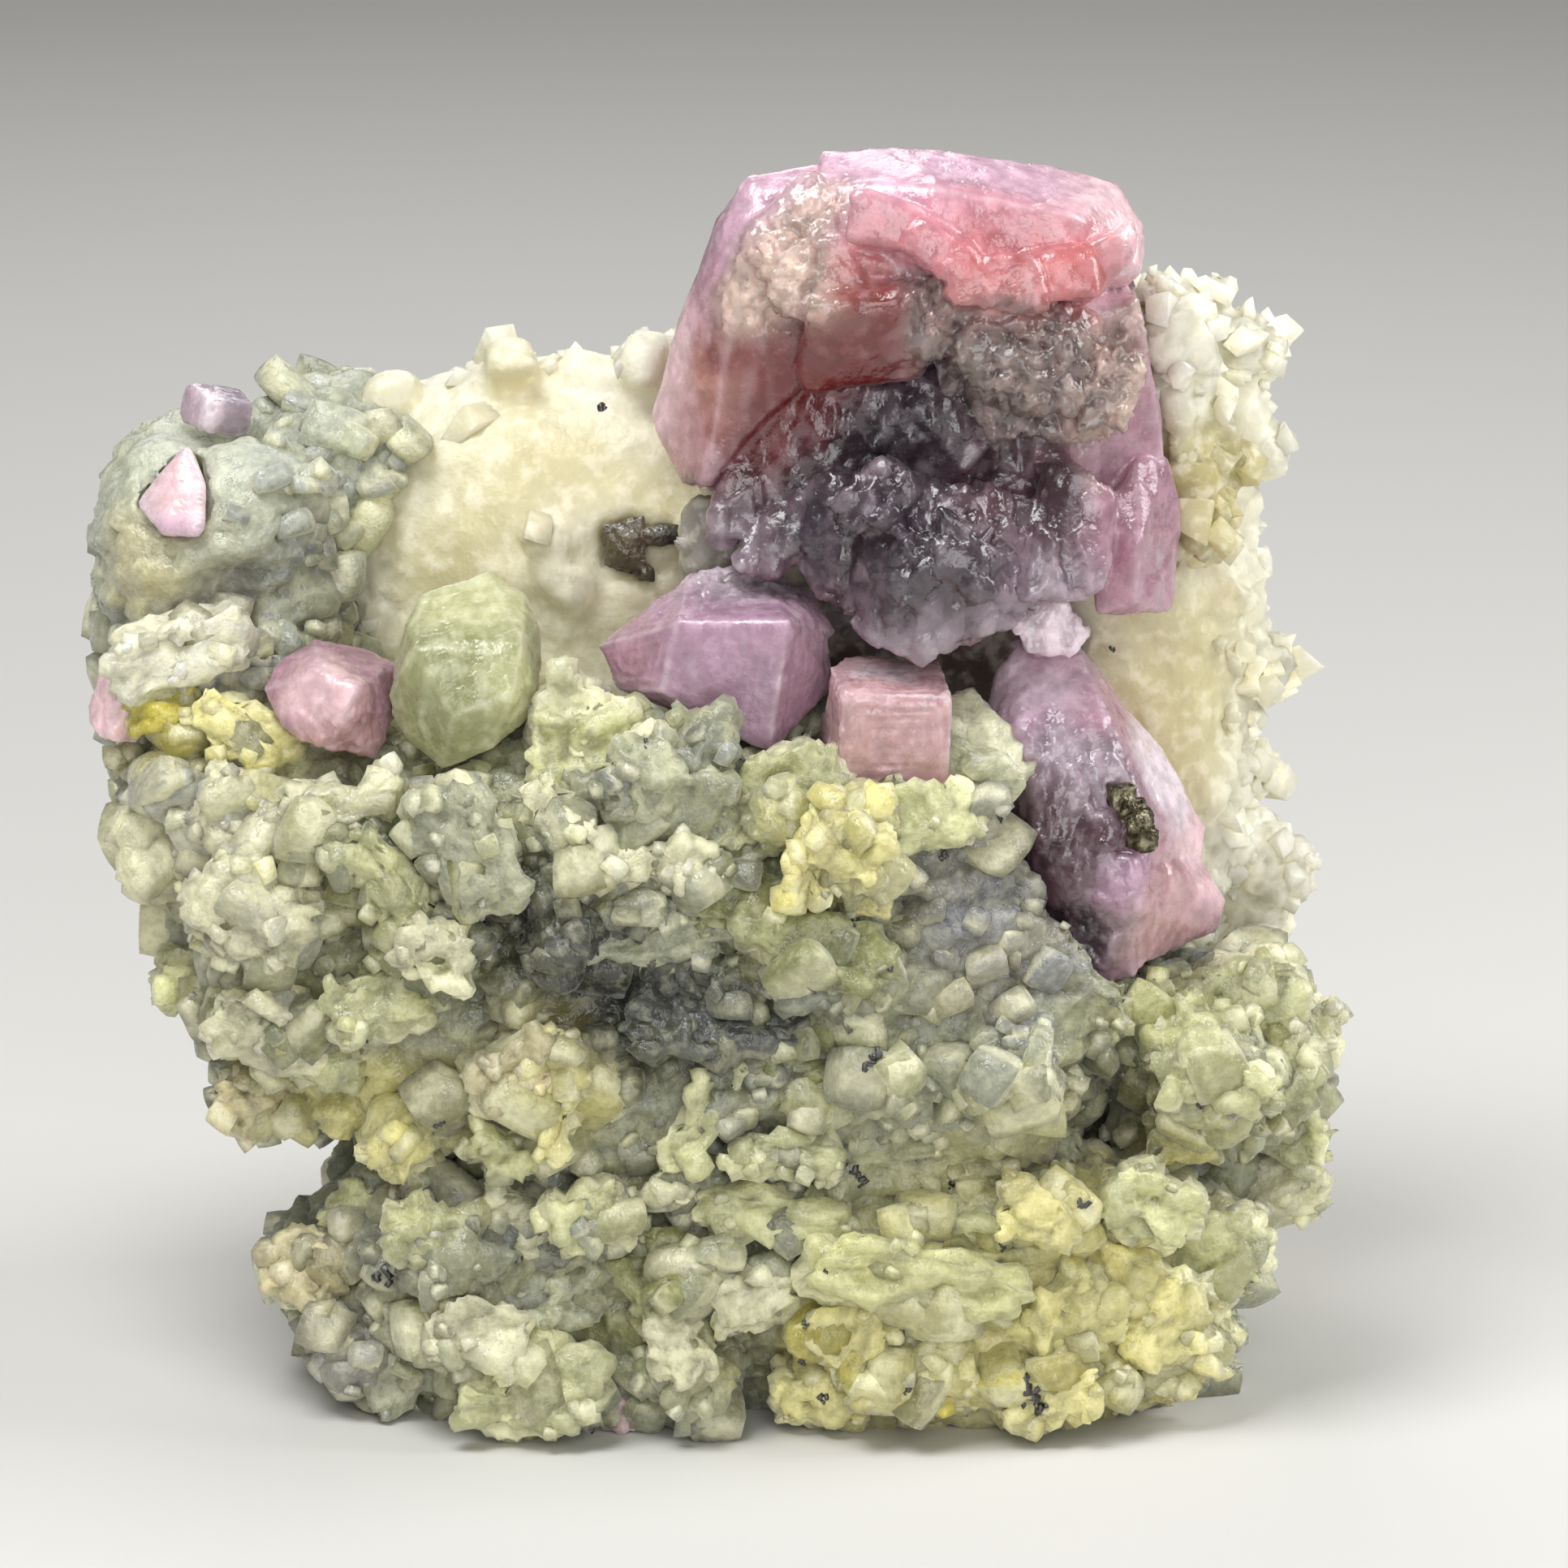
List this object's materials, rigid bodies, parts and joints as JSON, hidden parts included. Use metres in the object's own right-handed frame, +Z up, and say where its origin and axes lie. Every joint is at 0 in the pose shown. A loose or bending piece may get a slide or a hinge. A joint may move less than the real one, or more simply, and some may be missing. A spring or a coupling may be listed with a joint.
{
  "type": "spinel specimen",
  "caption": "Small mineral specimen: pink and violet spinel crystals on white marble with a granular olive-green forsterite crust, standing on a flat base.",
  "frame": {"origin": "on the resting plane, under the middle of the bounding box", "axes": "+X to the right as seen from the crystal side, +Y away from the viewer towards the marble back, +Z up"},
  "size_m": [0.0324, 0.0206, 0.0325],
  "materials": {
    "marble": "white granular calcite marble, waxy and slightly translucent",
    "forsterite": "granular olive-green to yellow forsterite, frosted",
    "forsterite_crystal": "pale green forsterite crystal, frosted",
    "spinel_pink": "pink spinel, glassy and translucent",
    "spinel_violet": "violet spinel, glassy and translucent",
    "graphite": "dark flaky graphite, dull",
    "pyrite": "tarnished pyrite cubes"
  },
  "bodies": {
    "root": {"marble": "marble", "forsterite_crust": "forsterite", "forsterite_crystal": "forsterite_crystal", "spinel_large": "spinel_pink", "spinel_left_octahedron": "spinel_violet", "spinel_pink_block": "spinel_pink", "spinel_long": "spinel_violet", "spinel_pink_dome": "spinel_pink", "spinel_left_edge": "spinel_pink", "spinel_knob_wedge": "spinel_pink", "spinel_crest": "spinel_violet", "graphite_patch": "graphite", "pyrite_grains": "pyrite"}
  },
  "joints": []
}
